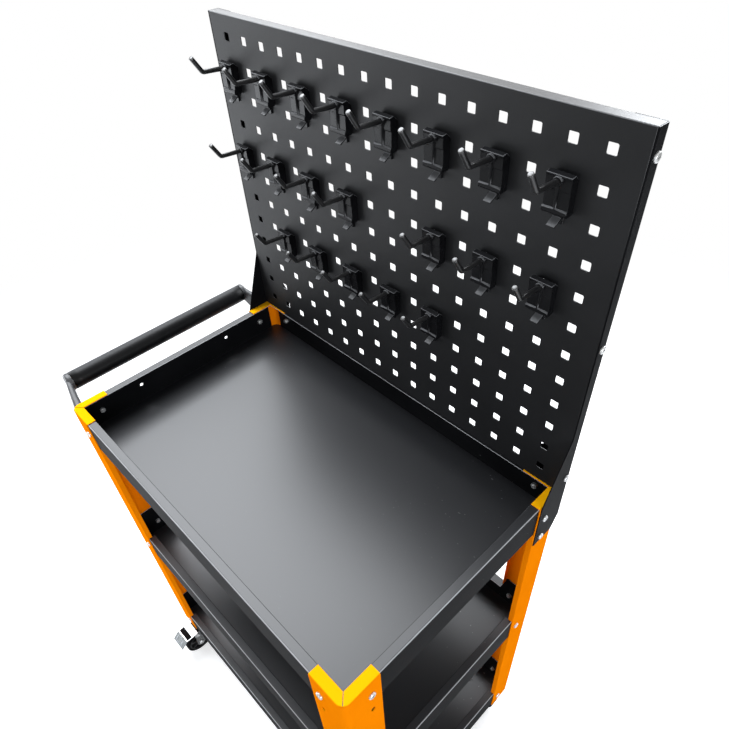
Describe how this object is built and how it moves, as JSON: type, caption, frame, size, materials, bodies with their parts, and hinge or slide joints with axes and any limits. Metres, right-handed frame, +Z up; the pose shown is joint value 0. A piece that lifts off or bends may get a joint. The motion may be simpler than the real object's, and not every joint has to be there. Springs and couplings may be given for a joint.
{
  "type": "tool cart with pegboard",
  "caption": "Wheeled tool cart with stacked open trays on orange corner posts, a black pegboard with hooks at the back and a push handle at one end.",
  "frame": {"origin": "on the floor, under the middle of the cart's outline", "axes": "+Z up, X along the cart's length with the push handle at the -X end, +Y towards the pegboard at the back"},
  "size_m": [0.7222, 0.496, 1.25],
  "materials": {
    "black_coat": "satin black powder coat",
    "orange_coat": "semi-gloss orange powder coat",
    "tube_steel": "plain drawn steel",
    "grip_sleeve": "smooth satin sleeve",
    "arm_plastic": "fine-grained moulded",
    "fastener_zinc": "bright zinc plate",
    "hook_plastic": "satin moulded",
    "hook_steel": "glossy black coated rod",
    "caster_zinc": "bright zinc plate",
    "wheel_plastic": "moulded",
    "tyre": "smooth hard rubber"
  },
  "bodies": {
    "cart": {"top_tray": "black_coat", "middle_tray": "black_coat", "bottom_tray": "black_coat", "pegboard_panel": "black_coat", "panel_bracket_left": "black_coat", "panel_bracket_right": "black_coat", "post_front_left": "orange_coat", "post_front_right": "orange_coat", "post_rear_left": "orange_coat", "post_rear_right": "orange_coat", "handle_tube": "tube_steel", "handle_grip": "grip_sleeve", "handle_arm_front": "arm_plastic", "handle_arm_rear": "arm_plastic", "tray_bolts": "fastener_zinc", "tray_nuts": "fastener_zinc", "bracket_bolts": "fastener_zinc", "bracket_nuts": "fastener_zinc", "panel_screws": "fastener_zinc", "panel_nuts": "fastener_zinc", "handle_bolts": "fastener_zinc", "handle_nuts": "fastener_zinc", "caster_bolts": "fastener_zinc", "caster_nuts": "fastener_zinc", "upper_hook_plates": "hook_plastic", "middle_hook_plates": "hook_plastic", "lower_hook_plates": "hook_plastic", "upper_hook_rods": "hook_steel", "middle_hook_rods": "hook_steel", "lower_hook_rods": "hook_steel", "caster_front_left_plate": "caster_zinc", "caster_front_left_kingpin": "caster_zinc", "caster_rear_left_plate": "caster_zinc", "caster_rear_left_kingpin": "caster_zinc", "caster_front_right_fork": "caster_zinc", "caster_front_right_axle": "caster_zinc", "caster_rear_right_fork": "caster_zinc", "caster_rear_right_axle": "caster_zinc"},
    "swivel_front_left": {"caster_front_left_bearing_balls": "caster_zinc", "caster_front_left_fork": "caster_zinc", "caster_front_left_brake_pin": "caster_zinc", "caster_front_left_axle": "caster_zinc"},
    "pedal_front_left": {"caster_front_left_brake_pedal": "caster_zinc", "caster_front_left_pedal_pad": "tyre"},
    "wheel_front_left": {"caster_front_left_wheel": "wheel_plastic", "caster_front_left_tyre": "tyre"},
    "swivel_rear_left": {"caster_rear_left_bearing_balls": "caster_zinc", "caster_rear_left_fork": "caster_zinc", "caster_rear_left_brake_pin": "caster_zinc", "caster_rear_left_axle": "caster_zinc"},
    "pedal_rear_left": {"caster_rear_left_brake_pedal": "caster_zinc", "caster_rear_left_pedal_pad": "tyre"},
    "wheel_rear_left": {"caster_rear_left_wheel": "wheel_plastic", "caster_rear_left_tyre": "tyre"},
    "wheel_front_right": {"caster_front_right_wheel": "wheel_plastic", "caster_front_right_tyre": "tyre"},
    "wheel_rear_right": {"caster_rear_right_wheel": "wheel_plastic", "caster_rear_right_tyre": "tyre"}
  },
  "joints": [
    {"name": "front_left_swivel", "type": "hinge", "parent": "cart", "child": "swivel_front_left", "pos_m": [-0.23955, -0.173, 0.09], "axis": [0, 0, 1], "continuous": true},
    {"name": "front_left_brake", "type": "hinge", "parent": "swivel_front_left", "child": "pedal_front_left", "pos_m": [-0.23955, -0.204, 0.071], "axis": [1, 0, 0], "range_deg": [0, 10]},
    {"name": "front_left_roll", "type": "hinge", "parent": "swivel_front_left", "child": "wheel_front_left", "pos_m": [-0.23955, -0.203, 0.0325], "axis": [1, 0, 0], "continuous": true},
    {"name": "rear_left_swivel", "type": "hinge", "parent": "cart", "child": "swivel_rear_left", "pos_m": [-0.23955, 0.173, 0.09], "axis": [0, 0, 1], "continuous": true},
    {"name": "rear_left_brake", "type": "hinge", "parent": "swivel_rear_left", "child": "pedal_rear_left", "pos_m": [-0.23955, 0.204, 0.071], "axis": [-1, 0, 0], "range_deg": [0, 10]},
    {"name": "rear_left_roll", "type": "hinge", "parent": "swivel_rear_left", "child": "wheel_rear_left", "pos_m": [-0.23955, 0.203, 0.0325], "axis": [1, 0, 0], "continuous": true},
    {"name": "front_right_roll", "type": "hinge", "parent": "cart", "child": "wheel_front_right", "pos_m": [0.31645, -0.173, 0.0325], "axis": [0, 1, 0], "continuous": true},
    {"name": "rear_right_roll", "type": "hinge", "parent": "cart", "child": "wheel_rear_right", "pos_m": [0.31645, 0.173, 0.0325], "axis": [0, 1, 0], "continuous": true}
  ]
}
